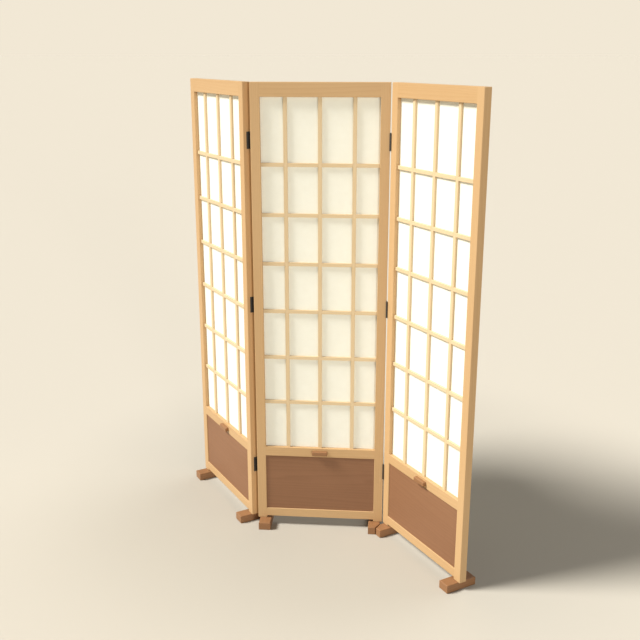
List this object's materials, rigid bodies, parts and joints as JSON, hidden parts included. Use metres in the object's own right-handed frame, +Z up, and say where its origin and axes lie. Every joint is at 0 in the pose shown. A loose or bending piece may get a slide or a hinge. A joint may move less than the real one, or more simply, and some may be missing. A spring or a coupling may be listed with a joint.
{
  "type": "folding shoji screen",
  "caption": "Free-standing folding shoji screen: paper on wooden lattice over a solid dado board, in framed panels that fold on butt hinges and stand on cross feet.",
  "frame": {"origin": "on the floor under the middle of the centre panel", "axes": "+Z up; the centre panel lies along X and its front faces -Y"},
  "size_m": [1.2264, 0.9338, 1.8],
  "materials": {
    "frame_wood": "clear satin softwood",
    "lattice_wood": "clear satin softwood",
    "paper": "matt fibrous paper",
    "dado_wood": "brown stained, matt",
    "foot_wood": "brown stained, satin",
    "black_steel": "black, satin",
    "screw_steel": "zinc plated"
  },
  "bodies": {
    "centre": {"centre_left_stile": "frame_wood", "centre_right_stile": "frame_wood", "centre_top_rail": "frame_wood", "centre_mid_rail": "frame_wood", "centre_bottom_rail": "frame_wood", "centre_uprights": "lattice_wood", "centre_crossbars": "lattice_wood", "centre_paper": "paper", "centre_dado_board": "dado_wood", "centre_pull": "foot_wood", "centre_left_foot": "foot_wood", "centre_right_foot": "foot_wood", "centre_foot_screws": "screw_steel", "centre_hinge_screws": "black_steel", "left_hinge_bottom_inner_leaf": "black_steel", "left_hinge_bottom_pin": "black_steel", "left_hinge_middle_inner_leaf": "black_steel", "left_hinge_middle_pin": "black_steel", "left_hinge_top_inner_leaf": "black_steel", "left_hinge_top_pin": "black_steel", "right_hinge_bottom_inner_leaf": "black_steel", "right_hinge_bottom_pin": "black_steel", "right_hinge_middle_inner_leaf": "black_steel", "right_hinge_middle_pin": "black_steel", "right_hinge_top_inner_leaf": "black_steel", "right_hinge_top_pin": "black_steel"},
    "left": {"left_left_stile": "frame_wood", "left_right_stile": "frame_wood", "left_top_rail": "frame_wood", "left_mid_rail": "frame_wood", "left_bottom_rail": "frame_wood", "left_uprights": "lattice_wood", "left_crossbars": "lattice_wood", "left_paper": "paper", "left_dado_board": "dado_wood", "left_pull": "foot_wood", "left_left_foot": "foot_wood", "left_right_foot": "foot_wood", "left_foot_screws": "screw_steel", "left_hinge_screws": "black_steel", "left_hinge_bottom_outer_leaf": "black_steel", "left_hinge_middle_outer_leaf": "black_steel", "left_hinge_top_outer_leaf": "black_steel"},
    "right": {"right_left_stile": "frame_wood", "right_right_stile": "frame_wood", "right_top_rail": "frame_wood", "right_mid_rail": "frame_wood", "right_bottom_rail": "frame_wood", "right_uprights": "lattice_wood", "right_crossbars": "lattice_wood", "right_paper": "paper", "right_dado_board": "dado_wood", "right_pull": "foot_wood", "right_left_foot": "foot_wood", "right_right_foot": "foot_wood", "right_foot_screws": "screw_steel", "right_hinge_screws": "black_steel", "right_hinge_bottom_outer_leaf": "black_steel", "right_hinge_middle_outer_leaf": "black_steel", "right_hinge_top_outer_leaf": "black_steel"}
  },
  "joints": [
    {"name": "left_fold", "type": "hinge", "parent": "centre", "child": "left", "pos_m": [-0.2595, 0.0176, 0], "axis": [0, 0, 1], "range_deg": [-4, 56]},
    {"name": "right_fold", "type": "hinge", "parent": "centre", "child": "right", "pos_m": [0.2595, -0.0176, 0], "axis": [0, 0, 1], "range_deg": [-4, 56]}
  ]
}
